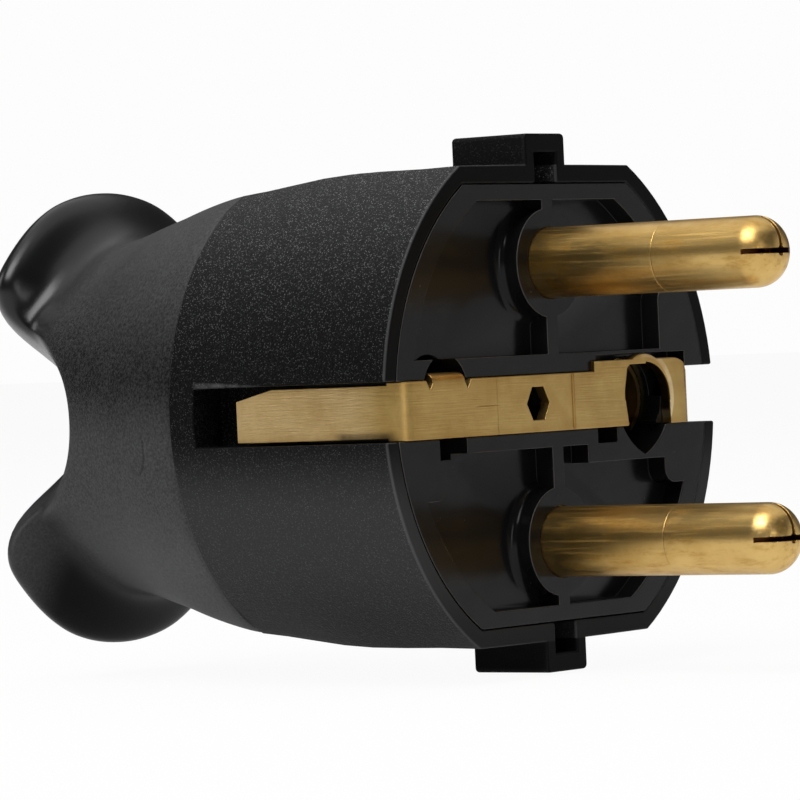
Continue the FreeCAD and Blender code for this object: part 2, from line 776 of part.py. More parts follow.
# Carrier back: a plate that traps the pin collars, with a shelf for the cord

def make_carrier_back():
    body = new_body("carrier_back")
    disc = sketch_on(body, "YZ_Plane", "disc", "-carrier_depth")
    circle(disc, "0", "0", "back_radius")
    pad(body, "plate", disc, "back_plate", Reversed=True)
    shelf = ("-shelf_bottom", "-shelf_top")
    block(body, "shelf", ("-shelf_back", "-carrier_depth - back_plate + bite"),
          ("-shelf_half", "shelf_half"), shelf)
    block(body, "saddle", ("-clamp_back - clamp_length / 2", "-clamp_back + clamp_length / 2"),
          ("-clamp_half", "clamp_half"), shelf)
    posts = sketch_on(body, "XY_Plane", "posts", "-shelf_top - bite")
    for side in ("", "-"):
        circle(posts, "-clamp_back", f"{side}clamp_screw_y", "post_radius")
    pad(body, "clamp_posts", posts, "shelf_top + bite + clamp_bottom - post_gap")
    doc.recompute()
    groove = sketch_on(body, "YZ_Plane", "cord_groove", "-carrier_depth - back_plate")
    circle(groove, "0", "0", "saddle_radius")
    pocket(body, "cord_groove_cut", groove, "shelf_back")
    screws = sketch_on(body, "XY_Plane", "clamp_screw_holes", "clamp_bottom")
    for side in ("", "-"):
        circle(screws, "-clamp_back", f"{side}clamp_screw_y", "screw_radius + fit_gap")
    pocket(body, "clamp_screw_cut", screws, "clamp_screw_grip + fit_gap")
    holes = sketch_on(body, "YZ_Plane", "holes", "-carrier_depth")
    for side in ("", "-"):
        circle(holes, "0", f"{side}pin_offset", "pin_tail + fit_gap")
    circle(holes, "carrier_screw_y", "0", "screw_radius + fit_gap")
    rectangle(holes, "-earth_block_y - tab_tail_half - fit_gap", "-earth_block_y + tab_tail_half + fit_gap",
              "tab_level - strip_thick - fit_gap", "tab_level + fit_gap")
    pocket(body, "hole_cut", holes, "back_plate")


# Terminals with their screws and clamp plates

def make_terminal(label, across, up, width, height, length, tail, wire):
    """A block with a wire way; tail = (radius, depth) of the pin's hole or None."""
    body = new_body(label)
    place(body, x="-carrier_depth - back_plate", y=across, z=up)
    block(body, "body", (f"-{length}", "0"), (f"-{width} / 2", f"{width} / 2"),
          (f"-{height} / 2", f"{height} / 2"))
    bore = sketch_on(body, "YZ_Plane", "wire_way")
    circle(bore, "0", "0", wire)
    pocket(body, "wire_way_cut", bore, length)
    if tail:
        seat = sketch_on(body, "YZ_Plane", "tail_seat")
        circle(seat, "0", "0", tail[0])
        pocket(body, "tail_seat_cut", seat, tail[1])
    return body


def screw_hole(body, along, outward, height):
    """The threaded hole of a terminal's screw, on its upper (1) or lower (-1) side."""
    level = f"{height} / 2" if outward > 0 else f"-{height} / 2"
    hole = sketch_on(body, "XY_Plane", "screw_hole", level)
    circle(hole, along, "0", "screw_radius + fit_gap")
    pocket(body, "screw_hole_cut", hole, f"{height} / 2", Reversed=outward < 0)


def make_screw(label, x, y, z, grip, turn):
    """A slotted screw; its head rests at (x, y, z), turn is its swing about Y in degrees."""
    body = new_body(label)
    body.Placement = FreeCAD.Placement(
        FreeCAD.Vector(), FreeCAD.Rotation(FreeCAD.Vector(0, 1, 0), turn))
    place(body, x=x, y=y, z=z)
    half = sketch_on(body, "XZ_Plane", "half")
    outline(half, [
        (grip, "0"), (grip, "screw_radius"), ("0", "screw_radius"), ("0", "screw_head_radius"),
        ("-screw_head_height", "screw_head_radius"), ("-screw_head_height", "0")])
    turned(body, "Revolution", "stem", half)
    doc.recompute()
    slot = sketch_on(body, "YZ_Plane", "slot", "-screw_head_height")
    rectangle(slot, "-screw_head_radius - past", "screw_head_radius + past",
              "-screw_slot / 2", "screw_slot / 2")
    pocket(body, "slot_cut", slot, "screw_slot_depth", Reversed=True)


def make_plate(label, x, y, z, outward):
    """The small plate between a terminal's screw and its wire."""
    body = new_body(label)
    place(body, x=x, y=y, z=z)
    low, high = ("plate_level - plate_thick", "plate_level")
    up = (low, high) if outward > 0 else (f"-({high})", f"-({low})")
    block(body, "body", ("-plate_length / 2", "plate_length / 2"),
          ("-plate_width / 2", "plate_width / 2"), up)


def make_terminals():
    along = "(tail_grip + block_length) / 2"
    for name, side, outward in (("upper", "", 1), ("lower", "-", -1)):
        body = make_terminal(f"terminal_{name}", "0", f"{side}pin_offset", "block_side",
                             "block_side", "block_length",
                             ("pin_tail + fit_gap", "tail_grip"), "wire_radius")
        screw_hole(body, f"-{along}", outward, "block_side")
        x = f"-carrier_depth - back_plate - {along}"
        make_screw(f"terminal_screw_{name}", x, "0", f"{side}(pin_offset + block_side / 2)",
                   "block_side / 2 - plate_level", 90 * outward)
        make_plate(f"clamp_plate_{name}", x, "0", f"{side}pin_offset", outward)
    body = make_terminal("earth_terminal", "-earth_block_y", "earth_block_z", "earth_block_width",
                         "earth_block_height", "earth_block_length", None, "earth_wire_radius")
    screw_hole(body, "-earth_block_length / 2", -1, "earth_block_height")
    x = "-carrier_depth - back_plate - earth_block_length / 2"
    make_screw("earth_terminal_screw", x, "-earth_block_y",
               "earth_block_z - earth_block_height / 2", "earth_block_height / 2 - plate_level", -90)
    make_plate("clamp_plate_earth", x, "-earth_block_y", "earth_block_z", -1)


def make_cord_clamp():
    body = new_body("cord_clamp_bar")
    block(body, "body", ("-clamp_back - clamp_length / 2", "-clamp_back + clamp_length / 2"),
          ("-clamp_half", "clamp_half"), ("clamp_bottom", "clamp_bottom + clamp_thick"))
    groove = sketch_on(body, "YZ_Plane", "cord_groove", "-clamp_back + clamp_length / 2")
    circle(groove, "0", "0", "saddle_radius")
    pocket(body, "cord_groove_cut", groove, "clamp_length")
    holes = sketch_on(body, "XY_Plane", "screw_holes", "clamp_bottom + clamp_thick")
    for side in ("", "-"):
        circle(holes, "-clamp_back", f"{side}clamp_screw_y", "screw_radius + fit_gap")
    pocket(body, "screw_hole_cut", holes, "clamp_thick")
    for name, side in (("left", "-"), ("right", "")):
        make_screw(f"cord_clamp_screw_{name}", "-clamp_back", f"{side}clamp_screw_y",
                   "clamp_bottom + clamp_thick", "clamp_thick + clamp_screw_grip", 90)


make_housing()
make_carrier()
make_pin("pin_upper", "")
make_pin("pin_lower", "-")
make_strip()
make_socket()
make_carrier_back()
make_terminals()
make_screw("carrier_screw", "-carrier_depth - back_plate", "carrier_screw_y", "0",
           "back_plate + carrier_screw_grip", 0)
make_cord_clamp()
doc.recompute()
failed = [f"{o.Name} {o.State}" for o in doc.Objects if "Invalid" in o.State or "Error" in o.State]
if failed:
    raise ValueError(", ".join(failed))
os.makedirs("parts", exist_ok=True)
for node in NODES:
    if node.Shape.isNull() or not node.Shape.isValid():
        raise ValueError(f"{node.Label} has no valid shape")
    node.Shape.exportStep(f"parts/{node.Label}.step")
    print(node.Label, round(node.Shape.Volume, 1), len(node.Shape.Solids))
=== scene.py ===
import json
from math import atan2, cos, radians, sin

import bmesh
import bpy
from mathutils import Matrix, Vector


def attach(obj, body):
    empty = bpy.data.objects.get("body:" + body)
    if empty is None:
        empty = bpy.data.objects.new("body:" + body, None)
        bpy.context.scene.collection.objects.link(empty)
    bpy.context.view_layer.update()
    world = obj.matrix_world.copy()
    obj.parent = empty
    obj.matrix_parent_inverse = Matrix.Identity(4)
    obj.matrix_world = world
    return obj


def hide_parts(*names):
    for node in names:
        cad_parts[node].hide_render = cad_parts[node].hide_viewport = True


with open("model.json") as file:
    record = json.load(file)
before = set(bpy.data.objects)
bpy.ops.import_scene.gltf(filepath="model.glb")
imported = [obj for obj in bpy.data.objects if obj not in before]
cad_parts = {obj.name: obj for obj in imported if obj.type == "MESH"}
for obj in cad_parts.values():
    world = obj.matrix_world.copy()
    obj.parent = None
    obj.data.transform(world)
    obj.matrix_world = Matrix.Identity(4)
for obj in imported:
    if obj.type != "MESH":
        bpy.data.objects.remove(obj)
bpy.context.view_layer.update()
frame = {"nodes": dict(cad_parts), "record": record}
MM = 0.001

# Places and sizes in millimetres: X points out of the face, Y to the far side, Z up

PIN_OFFSET = 9.5
PIN_RADIUS = 2.4
PIN_END = 19.0
GAUGE_LINE = 10.1
SLIT_FROM = 17.4
SLIT_HALF = 0.15

RIM_HEIGHT = 16.2
NOSE_HALF = 2.25
NOSE_LENGTH = 6.3
SLOT_HALF = 2.0
SLOT_END = -17.2
CREASE_BACK = 19.5

STRIP_FACE = 0.3
STRIP_RIDGE = 1.6
STRIP_CREASE = -7.0
HOLE_AT = 10.1
HOLE_RADIUS = 2.45
LIP_AT = 10.3
LIP_RADIUS = 2.95


# Finishes

MOULDED_BLACK = (0.002, 0.002, 0.0021)
# Grey for the barrel's scuffs, its painted glints and its painted light
WEAR_AND_PAINTED_LIGHT_GREY = (0.36, 0.36, 0.37)
# Grey for the grip's satin grain and its painted light
SATIN_AND_PAINTED_LIGHT_GREY = (0.12, 0.12, 0.122)
GLOSSY_BLACK = (0.006, 0.006, 0.0065)
# Grey for the insert's dust and its painted edge highlight
DUST_AND_HIGHLIGHT_GREY = (0.08, 0.075, 0.07)
PIN_GOLD = (0.74, 0.5, 0.18)
PIN_BROWN = (0.46, 0.25, 0.05)
# Dark brown for the painted shade in the pins' slits
SLIT_SHADE_BROWN = (0.12, 0.04, 0.01)
BAR_BRASS = (0.52, 0.35, 0.12)
# Paler brass for the leg, painted lighter than the bar
LIT_LEG_BRASS = (0.66, 0.47, 0.22)
# Pale brass for the painted highlight on the hole's lip
LIP_HIGHLIGHT_BRASS = (0.8, 0.62, 0.34)
# Tarnish, also used for the painted shade on the tab's fold
TARNISH_AND_SHADE = (0.38, 0.22, 0.06)
# Near black for the band low on the strip's leg and the painted shade in its hole
DARK_BAND_AND_SHADE_BROWN = (0.03, 0.022, 0.015)
BLOCK_BRASS = (0.72, 0.52, 0.24)
BLOCK_BROWN = (0.6, 0.42, 0.18)
BRIGHT_ZINC = (0.62, 0.62, 0.6)
DULL_ZINC = (0.5, 0.5, 0.48)


class Grade:
    """A number that changes over a surface; sums on it add their Math nodes."""

    def __init__(self, finish, socket):
        self.finish, self.socket = finish, socket

    def math(self, operation, *values):
        return self.finish.node("ShaderNodeMath", {"operation": operation}, dict(enumerate(values)))

    def __add__(self, other):
        return self.math("ADD", self, other)

    def __sub__(self, other):
        return self.math("SUBTRACT", self, other)

    def __rsub__(self, other):
        return self.math("SUBTRACT", other, self)

    def __mul__(self, other):
        return self.math("MULTIPLY", self, other)

    def __truediv__(self, other):
        return self.math("DIVIDE", self, other)

    def __pow__(self, other):
        return self.math("POWER", self, other)

    def __abs__(self):
        return self.math("ABSOLUTE", self)

    __radd__, __rmul__ = __add__, __mul__

    def step(self, low, high):
        """0 at low, 1 at high and smooth between, rising or falling."""
        return self.finish.node("ShaderNodeMapRange", {"interpolation_type": "SMOOTHSTEP"},
                                {"Value": self, "From Min": low, "From Max": high})


class Finish:
    """One material, patterned by the place on the plug, with its Principled shader."""

    def __init__(self, name, **constants):
        self.material = bpy.data.materials.new(name)
        self.material.use_nodes = True
        self.tree = self.material.node_tree
        self.shader = self.tree.nodes["Principled BSDF"]
        for socket, value in constants.items():
            self.shader.inputs[socket.replace("_", " ")].default_value = value
        self.place = self.node("ShaderNodeTexCoord", {}, {}, "Object")

    def node(self, kind, settings, values, output=0):
        """A node of that kind: settings first, then its sockets' values or links."""
        made = self.tree.nodes.new(kind)
        for key, value in settings.items():
            setattr(made, key, value)
        for key, value in values.items():
            if isinstance(value, Grade):
                self.tree.links.new(value.socket, made.inputs[key])
            else:
                made.inputs[key].default_value = value
        return Grade(self, made.outputs[output])

    def along(self, axis):
        """The place along X, Y or Z, in millimetres."""
        return self.node("ShaderNodeSeparateXYZ", {}, {0: self.place}, axis) * (1.0 / MM)

    def from_middle(self, axis):
        """How far from the plug's middle plane, either way, in millimetres."""
        return abs(self.along(axis))

    def line(self, axis, at, half):
        """1 on the plane at that place along an axis, fading to 0 within half a width."""
        return abs(self.along(axis) - at).step(half, half * 0.3)

    def noise(self, scale, detail=2.0, rough=0.5, place=None):
        return self.node("ShaderNodeTexNoise", {}, {
            "Vector": place or self.place, "Scale": scale, "Detail": detail, "Roughness": rough})

    def brushed(self, x, y, z, detail, rough):
        """Noise with a scale for each axis, for grain that runs one way."""
        place = self.node("ShaderNodeVectorMath", {"operation": "MULTIPLY"}, {0: self.place, 1: (x, y, z)})
        return self.noise(1.0, detail, rough, place)

    def cells(self, scale, output="Distance"):
        """The distance to the nearest of many scattered points, or each one's own colour."""
        return self.node("ShaderNodeTexVoronoi", {}, {"Vector": self.place, "Scale": scale}, output)

    def tint(self, share, first, second):
        """A colour between two, by a share from 0 to 1."""
        ends = [end if isinstance(end, Grade) else (*end, 1.0) for end in (first, second)]
        return self.node("ShaderNodeMix", {"data_type": "RGBA"}, {0: share, 6: ends[0], 7: ends[1]}, 2)

    def feed(self, socket, grade):
        self.tree.links.new(grade.socket, self.shader.inputs[socket])

    def relief(self, height, depth):
        """Bumps the surface by height, whose full step stands for that many metres."""
        self.feed("Normal", self.node("ShaderNodeBump", {}, {
            "Strength": 1.0, "Distance": depth, "Height": height}))


def barrel_plastic():
    """Black moulding with a coarse grain and painted glints, plain on its front rim and noses, scuffed
    above the slot, painted lighter towards the top and low down and darker at the bottom, with a painted
    highlight along the rim's edge.
    """
    made = Finish("barrel_grain_and_painted_light", Specular_IOR_Level=0.06)
    behind_rim = made.along("X").step(-0.05, -0.25)
    # Painted light: 1 towards the top, where the barrel is painted lighter as if lit from above.
    upper = made.along("Z").step(1.0, 17.0)
    # Painted light: lighter low down, as if lit from below; painted shade: darker at the bottom.
    low, painted_bottom_shade = made.along("Z").step(-1.0, -7.0), made.along("Z").step(-9.0, -16.0)
    nose = (made.from_middle("Z").step(RIM_HEIGHT - 0.05, RIM_HEIGHT + 0.05)
            * made.from_middle("Y").step(NOSE_HALF + 0.25, NOSE_HALF + 0.05)
            * made.along("X").step(-NOSE_LENGTH - 0.2, -NOSE_LENGTH - 0.05))
    off_nose = 1.0 - nose * 0.9
    grain = made.noise(5200.0, 2.0, 0.6) * behind_rim * off_nose

    glint_scale = 9500.0
    lucky = made.node("ShaderNodeSeparateColor", {}, {0: made.cells(glint_scale, "Color")}).step(0.1, 1.0)
    # Painted glints: bright specks in the colour, stronger towards the top, standing in for light sparkling
    # on the grain.
    glints = (made.cells(glint_scale).step(0.46, 0.14) * lucky * lucky
              * behind_rim * (upper * 0.75 + 0.2) * off_nose)

    above_slot = made.along("Z") - SLOT_HALF
    flare = made.along("X").step(-8.0, SLOT_END - 0.3) * 0.5
    scuff = (above_slot.step(-0.02, 0.02) * made.along("X").step(SLOT_END - 0.1, SLOT_END + 0.05)
             * (above_slot - flare).step(0.0, -0.2) * made.noise(900.0, 4.0, 0.7).step(0.2, 0.7))
    # Painted highlight: a thin pale line along the front rim's edge, where it catches light.
    painted_rim_highlight = made.line("X", -0.15, 0.15)

    # Real scuffs above the slot, mixed with painted light and shade: the rim's painted highlight, lighter
    # towards the top and low down, darker at the bottom.
    wear_and_painted_light = (painted_rim_highlight * 0.12 + scuff * 0.16 + upper * upper * behind_rim * 0.08
            + low * 0.105 - painted_bottom_shade * 0.06) * off_nose
    made.feed("Base Color", made.tint(glints + wear_and_painted_light, MOULDED_BLACK, WEAR_AND_PAINTED_LIGHT_GREY))
    made.feed("Roughness", 0.5 - glints * 0.15)
    made.relief(grain + glints * 0.5, 0.00007)
    return made.material


def grip_plastic():
    """The same moulding behind the crease: satin, but polished on the finger lobes. Its grey is partly
    grain and partly painted light: lighter towards the top and bottom and on the lower half, darker at the
    very bottom, and the lobes' dishes black, partly for their polish and partly as painted shade.
    """
    made = Finish("grip_satin_and_painted_light", Specular_IOR_Level=0.1, Coat_Roughness=0.28)
    lobes = made.along("X").step(-34.0, -38.0)
    # Painted shade: the lobes' dishes lose their grey and go black, partly for their polish and partly as
    # painted shade in the hollows, except on the lower sides.
    lower_side = made.from_middle("Y").step(7.5, 10.5) * made.along("Z").step(-3.0, -6.0)
    polish_and_painted_dish_shade = lobes * (1.0 - lower_side * 0.55)

    fine = made.noise(7500.0, 2.0, 0.55)
    drift = made.noise(180.0, 3.0, 0.6)
    mottle = made.noise(5200.0, 2.0, 0.7).step(0.25, 0.75)
    specks = made.cells(5200.0).step(0.3, 0.1)
    # Painted light: lighter towards the top and the bottom, darker across the middle.
    edges = made.from_middle("Z").step(2.0, 15.0)
    # Painted light: lighter below the middle; painted shade: darker again at the bottom.
    low, painted_bottom_shade = made.along("Z").step(3.0, -2.0), made.along("Z").step(-9.0, -14.0)
    # The grip's grey: real mottle, specks and drift, with the painted light and shade above.
    shade = (edges * 0.42 + (low - painted_bottom_shade) * 0.26 + mottle * 0.3 + specks * 0.1
             + drift.step(0.2, 0.9) * 0.1 - 0.1)

    across, up = (made.along("X") + 23.9) / 1.2, (made.along("Z") + 1.9) / 1.8
    ejector_oval = (across * across + up * up).step(1.2, 0.8) * made.along("Y").step(-12.0, -14.0)

    made.feed("Base Color", made.tint(shade * (1.0 - polish_and_painted_dish_shade), MOULDED_BLACK, SATIN_AND_PAINTED_LIGHT_GREY))
    made.feed("Roughness", 0.5 + drift * 0.1 - lobes * 0.22)
    made.feed("Coat Weight", lobes * made.along("Z").step(-4.0, 8.0) * 0.75)
    made.relief(fine * (1.0 - lobes * 0.5) + ejector_oval * 5.0, 0.00003)
    return made.material


def insert_plastic():
    """Glossy black moulding with faint flow waves and dust, and a painted highlight along its face's edges.
    """
    made = Finish("black_insert", Specular_IOR_Level=0.16)
    waves = made.noise(220.0, 2.0, 0.5)
    dust = made.cells(900.0).step(0.06, 0.01)
    # Painted highlight: a thin paler line on the face's edges, where they catch light.
    painted_edge_highlight = made.line("X", -0.05, 0.05)
    made.feed("Base Color", made.tint(dust * 0.6 + painted_edge_highlight, GLOSSY_BLACK, DUST_AND_HIGHLIGHT_GREY))
    made.feed("Roughness", 0.12 + waves * 0.14 + dust * 0.3)
    made.relief(waves + made.noise(3000.0, 2.0, 0.5) * 0.06, 0.00005)
    return made.material


def pin_brass():
    """Turned brass with the wear of use: faint rings, long scratches, stains and one gauge line, and
    painted shade in the slit.
    """
    made = Finish("pin_brass", Metallic=1.0)
    rings = made.brushed(9000.0, 300.0, 300.0, 3.0, 0.7)
    scratches = made.brushed(160.0, 5200.0, 5200.0, 3.0, 0.6)
    stains = made.brushed(420.0, 1500.0, 1500.0, 5.0, 0.7).step(0.46, 0.7)
    patches = made.noise(330.0, 3.0, 0.6)
    gauge = made.line("X", GAUGE_LINE, 0.05)
    root = made.along("X").step(9.5, 4.0)
    # Painted shade: the slit's walls and lips painted dark brown, where shade falls inside the slit.
    slit = (abs(made.from_middle("Z") - PIN_OFFSET).step(SLIT_HALF + 0.05, SLIT_HALF + 0.01)
            * made.along("X").step(SLIT_FROM - 0.1, SLIT_FROM))

    aged = patches.step(0.35, 0.7) * 0.4 + stains * 0.5 + root * 0.35
    made.feed("Base Color", made.tint(slit, made.tint(aged, PIN_GOLD, PIN_BROWN), SLIT_SHADE_BROWN))
    made.feed("Roughness", 0.26 + patches * 0.14 + stains * 0.12 + scratches.step(0.5, 0.75) * 0.16)
    made.relief(rings * 0.4 + scratches * 0.6 - gauge, 0.000012)
    return made.material


def strip_brass():
    """Pressed brass, brushed along its length, tarnished at its edges and darker low on its leg by the rim;
    with painted shade inside the hole and along the tab's fold, a painted highlight on the hole's far lip,
    and the leg painted lighter than the bar.
    """
    made = Finish("strip_brass", Metallic=1.0)
    brushed = made.brushed(700.0, 260.0, 9000.0, 3.0, 0.65)
    patches = made.noise(420.0, 4.0, 0.65)
    ridge = made.line("Y", STRIP_RIDGE, 0.25)
    crease = made.line("Y", STRIP_CREASE, 0.05)
    scratch = made.line("Z", 0.05, 0.05) * made.line("Y", STRIP_CREASE - 1.1, 1.6)
    border = made.from_middle("Z").step(1.2, 2.0)
    # Painted shade: the tab's fold painted darker and more orange, toning down its reflection.
    painted_fold_shade = made.along("Z").step(1.9, 2.2) * made.along("Y").step(-10.3, -10.6)
    # Tarnish at random, at the edges and along the ridge, crease and scratch, with the painted shade on the
    # fold.
    wear_and_painted_light = patches.step(0.3, 0.75) * 0.5 + border * 0.35 + (ridge + crease + scratch + painted_fold_shade) * 0.6

    across, up = made.along("Y") - LIP_AT, made.along("Z")
    reach = (across * across + up * up) ** 0.5
    # Painted highlight: a pale band on the far side of the hole's lip, where its rounding catches light.
    lip = abs(reach - LIP_RADIUS).step(0.26, 0.14) * across.step(-1.0, 0.5)
    # Painted shade: the hole's inner wall painted near black, where shade falls inside the hole.
    painted_hole_shade = (reach.step(LIP_RADIUS, LIP_RADIUS - 0.1)
                 * made.along("X").step(STRIP_FACE - 0.04, STRIP_FACE - 0.18)
                 * made.along("X").step(-0.7, -0.5))
    # A band darker low on the leg by the rim.
    by_rim = (made.along("Z").step(-1.1, -1.6) * made.along("X").step(-5.5, -4.5)
              * made.along("X").step(-0.2, -1.2))
    by_rim = by_rim * (patches * 0.6 + 0.4)
    # The darker band together with the painted shade in the hole, whichever is stronger.
    dark_band_and_painted_hole_shade = made.node("ShaderNodeMath", {"operation": "MAXIMUM"}, {0: by_rim, 1: painted_hole_shade * 0.9})

    # Painted light: the leg, running back from the face, painted paler than the bar as if lit more.
    brass_leg_painted_lighter = made.tint(made.along("X").step(-1.0, -4.0), BAR_BRASS, LIT_LEG_BRASS)
    brass = made.tint(wear_and_painted_light, made.tint(lip, brass_leg_painted_lighter, LIP_HIGHLIGHT_BRASS), TARNISH_AND_SHADE)
    made.feed("Base Color", made.tint(dark_band_and_painted_hole_shade, brass, DARK_BAND_AND_SHADE_BROWN))
    made.feed("Roughness", 0.24 + patches * 0.2 + brushed * 0.12)
    made.relief(brushed + patches * 0.5 - crease * 3.0 - scratch * 3.0, 0.000016)
    return made.material


def terminal_brass():
    """Machined brass blocks."""
    made = Finish("terminal_brass", Metallic=1.0)
    brushed = made.brushed(500.0, 6000.0, 6000.0, 2.0, 0.6)
    made.feed("Base Color", made.tint(brushed, BLOCK_BRASS, BLOCK_BROWN))
    made.feed("Roughness", 0.28 + brushed * 0.14)
    made.relief(brushed, 0.00001)
    return made.material


def screw_steel():
    """Zinc-plated steel."""
    made = Finish("screw_steel", Metallic=1.0)
    spots = made.noise(1500.0, 3.0, 0.6)
    made.feed("Base Color", made.tint(spots, BRIGHT_ZINC, DULL_ZINC))
    made.feed("Roughness", 0.3 + spots * 0.15)
    made.relief(spots, 0.00001)
    return made.material


FINISHES = {
    "black_housing": barrel_plastic(),
    "black_insert": insert_plastic(),
    "pin_brass": pin_brass(),
    "strip_brass": strip_brass(),
    "terminal_brass": terminal_brass(),
    "screw_steel": screw_steel(),
}
GRIP_SATIN = grip_plastic()
SLOTS = {part["node"]: part["material_slot"] for part in frame["record"]["subparts"]}


# Working on a bmesh, and making a piece of it

def merged_copy(node):
    """A bmesh of a node's solid with its loose triangles joined."""
    bm = bmesh.new()
    bm.from_mesh(frame["nodes"][node].data)
    bmesh.ops.remove_doubles(bm, verts=bm.verts, dist=0.0005 * MM)
    bmesh.ops.dissolve_limit(bm, angle_limit=radians(0.2), verts=bm.verts, edges=bm.edges)
    return bm


def piece_from(bm, name, node, sharp=30.0):
    """Makes a piece that replaces a node: smooth faces, hard edges past the sharp angle."""
    for face in bm.faces:
        face.smooth = True
    for edge in bm.edges:
        edge.smooth = edge.is_manifold and edge.calc_face_angle(0.0) < radians(sharp)
    mesh = bpy.data.meshes.new(name)
    bm.to_mesh(mesh)
    bm.free()
    mesh.materials.append(FINISHES[SLOTS[node]])
    piece = bpy.data.objects.new(name, mesh)
    bpy.context.scene.collection.objects.link(piece)
    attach(piece, "root")
    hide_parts(node)
    return piece


def break_edges(piece, width, sharp=30.0):
    """Rounds every hard edge of a piece to a width in millimetres."""
    bevel = piece.modifiers.new("edges", "BEVEL")
    bevel.width = width * MM
    bevel.segments = 2
    bevel.limit_method = "ANGLE"
    bevel.angle_limit = radians(sharp)
    bevel.harden_normals = True
    bevel.use_clamp_overlap = False


def edges_where(bm, test):
    """The edges whose two ends both pass a test of their place, in millimetres."""
    return [edge for edge in bm.edges if all(test(*(vert.co / MM)) for vert in edge.verts)]


def rounded(bm, edges, width, segments, clamp=True):
    """Rounds those edges to a width in millimetres."""
    bmesh.ops.bevel(bm, geom=edges, offset=width * MM, offset_type="OFFSET", segments=segments,
                    profile=0.5, affect="EDGES", clamp_overlap=clamp, material=-1)


def split(bm, normal, at, clear_outer=False):
    """Cuts the faces by the plane that far along a normal, and may drop what lies past it."""
    bmesh.ops.bisect_plane(bm, geom=bm.verts[:] + bm.edges[:] + bm.faces[:], dist=1e-6,
                           plane_co=Vector(normal) * at * MM, plane_no=normal, clear_outer=clear_outer)


def box_in(bm, centre, size):
    """Adds a box by its centre and size, in millimetres."""
    place = Matrix.Translation(Vector(centre) * MM) @ Matrix.Diagonal((*(Vector(size) * MM), 1.0))
    bmesh.ops.create_cube(bm, size=1.0, matrix=place)


def eased(part):
    """0 below 0, 1 above 1, smooth between."""
    part = min(max(part, 0.0), 1.0)
    return part * part * (3.0 - 2.0 * part)


# Grip: the rear of the housing, a soft sleeve that ends in two finger lobes.
# Each ring of its cage lies some way back, and reaches out some way from the plug's axis.

AROUND = 72
SWELL = 1.0 / (2.0 / 3.0 + cos(radians(360.0 / AROUND)) / 3.0)

# Way back, radius of the round sides, height of the flats and their crown
SLEEVE = ((19.5, 17.68, 15.52, 0.6), (19.9, 17.76, 15.66, 0.65), (21.2, 17.46, 15.60, 0.8),
          (23.2, 16.93, 15.42, 1.1), (25.5, 16.25, 15.10, 1.5), (27.6, 15.62, 14.78, 1.9),
          (29.6, 14.98, 14.32, 2.4))
# Way back and reach of the lobes' section, and how far each ring follows the scoops instead
LOBE = ((31.8, 14.05), (34.2, 13.0), (36.2, 12.35), (37.5, 12.45), (38.35, 13.6), (38.75, 15.2),
        (39.4, 16.3), (40.4, 16.45), (41.35, 15.6), (41.45, 14.0), (40.6, 11.4), (39.3, 8.4),
        (38.5, 6.4), (38.3, 5.2))
SCOOP_SHARE = (0.0, 0.02, 0.06, 0.12, 0.2, 0.29, 0.39, 0.5, 0.62, 0.74, 0.86, 0.97)
# Way back and reach of the cord's way and the cavity
BORE = ((37.6, 4.6), (31.2, 4.6), (31.0, 4.9), (30.9, 8.6), (30.6, 9.2), (19.9, 14.2), (19.5, 14.4))
RINGS = len(SLEEVE) + len(LOBE) + len(BORE)

SIDE = radians(90.0)
SCOOP_OUTER, SCOOP_ROOT = 13.9, 6.3
SCOOP_AXIS_BACK = 41.0
CONE_START, CONE_SLOPE = (6.2, 4.0), 0.629
LOBE_EDGE, LOBE_BLEND = radians(42.5), radians(18.0)
LOBE_TRIM = 0.8
DISH_SMOOTHINGS = 5


def sleeve_reach(radius, height, crown, angle):
    """How far the sleeve reaches at an angle from the top: a round side or a crowned flat."""
    half_width = (radius ** 2 - (height - crown) ** 2) ** 0.5
    bow, tilt = crown * sin(angle) ** 2 / half_width ** 2, abs(cos(angle))
    if tilt < 0.3:
        return radius
    if bow < 1e-6:
        return min(radius, height / tilt)
    return min(radius, ((tilt ** 2 + 4.0 * bow * height) ** 0.5 - tilt) / (2.0 * bow))


def scoop_back(reach, angle):
    """How far back the finger scoop's cone lies, at a reach and an angle from the top."""
    across, up = reach * abs(sin(angle)), reach * cos(angle)
    bore = CONE_START[1] + (across - CONE_START[0]) * CONE_SLOPE
    return SCOOP_AXIS_BACK - max(bore ** 2 - up ** 2, 0.0) ** 0.5


def lobe_point(step, angle):
    """The way back and reach of the lobes' cage, blended into the scoops at the sides."""
    back, reach = LOBE[step]
    from_side = abs(abs(angle) - SIDE)
    share = eased((LOBE_EDGE - from_side) / LOBE_BLEND)
    if reach > 13.3:
        reach -= LOBE_TRIM * eased((radians(75.0) - from_side) / radians(35.0))
    if step >= len(SCOOP_SHARE):
        return back, reach
    scoop_reach = SCOOP_OUTER + (SCOOP_ROOT - SCOOP_OUTER) * SCOOP_SHARE[step]
    scoop_at = scoop_back(scoop_reach, angle)
    if step == 0:
        scoop_at = min(scoop_at, back)
    return back + (scoop_at - back) * share, reach + (scoop_reach - reach) * share


def grip_point(index, angle):
    """The way back and reach of the grip's cage, for a ring and an angle from the top."""
    if index < len(SLEEVE):
        back, *shape = SLEEVE[index]
        return back, sleeve_reach(*shape, angle)
    if index < len(SLEEVE) + len(LOBE):
        return lobe_point(index - len(SLEEVE), angle)
    return BORE[index - len(SLEEVE) - len(LOBE)]


def settle(ring, index):
    """Moves a ring's vertices to their places on the cage."""
    for vert in ring:
        angle = atan2(vert.co.y, vert.co.z)
        back, reach = grip_point(index, angle)
        vert.co = Vector((-back, reach * SWELL * sin(angle), reach * SWELL * cos(angle))) * MM


